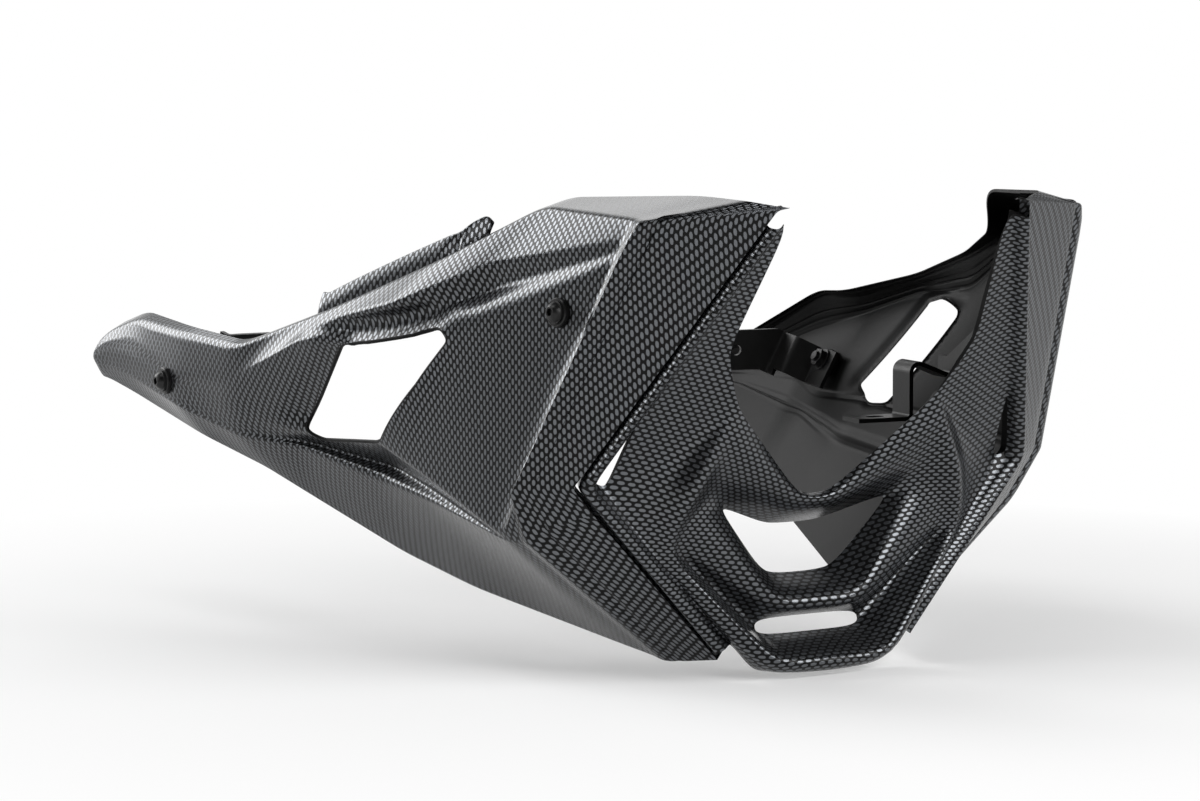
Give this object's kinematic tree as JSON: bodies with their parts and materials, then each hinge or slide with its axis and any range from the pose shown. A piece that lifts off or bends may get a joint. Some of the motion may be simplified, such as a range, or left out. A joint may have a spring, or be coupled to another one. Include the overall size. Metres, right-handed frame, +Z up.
{
  "type": "motorcycle belly pan",
  "caption": "Angular belly pan for a naked motorcycle: moulded side panels with windows, a mask-like front panel with cross bars, and bent steel brackets.",
  "frame": {"origin": "on the bike's middle plane, at the level of the lowest point of the chin, under the middle of the length", "axes": "+Y to the rear of the bike, +X to its left, +Z up"},
  "size_m": [0.4177, 0.5568, 0.267],
  "materials": {
    "panel": "glossy dotted weave film outside, plain satin black inside",
    "bracket": "satin black powder coat",
    "fastener": "black"
  },
  "bodies": {
    "root": {"right_side_panel": "panel", "left_side_panel": "panel", "front_panel": "panel", "right_front_bracket": "bracket", "left_front_bracket": "bracket", "right_rear_bracket": "bracket", "left_rear_bracket": "bracket", "panel_screws": "fastener", "cup_washers": "fastener", "panel_nuts": "fastener", "seam_screws": "fastener", "seam_washers": "fastener"}
  },
  "joints": []
}
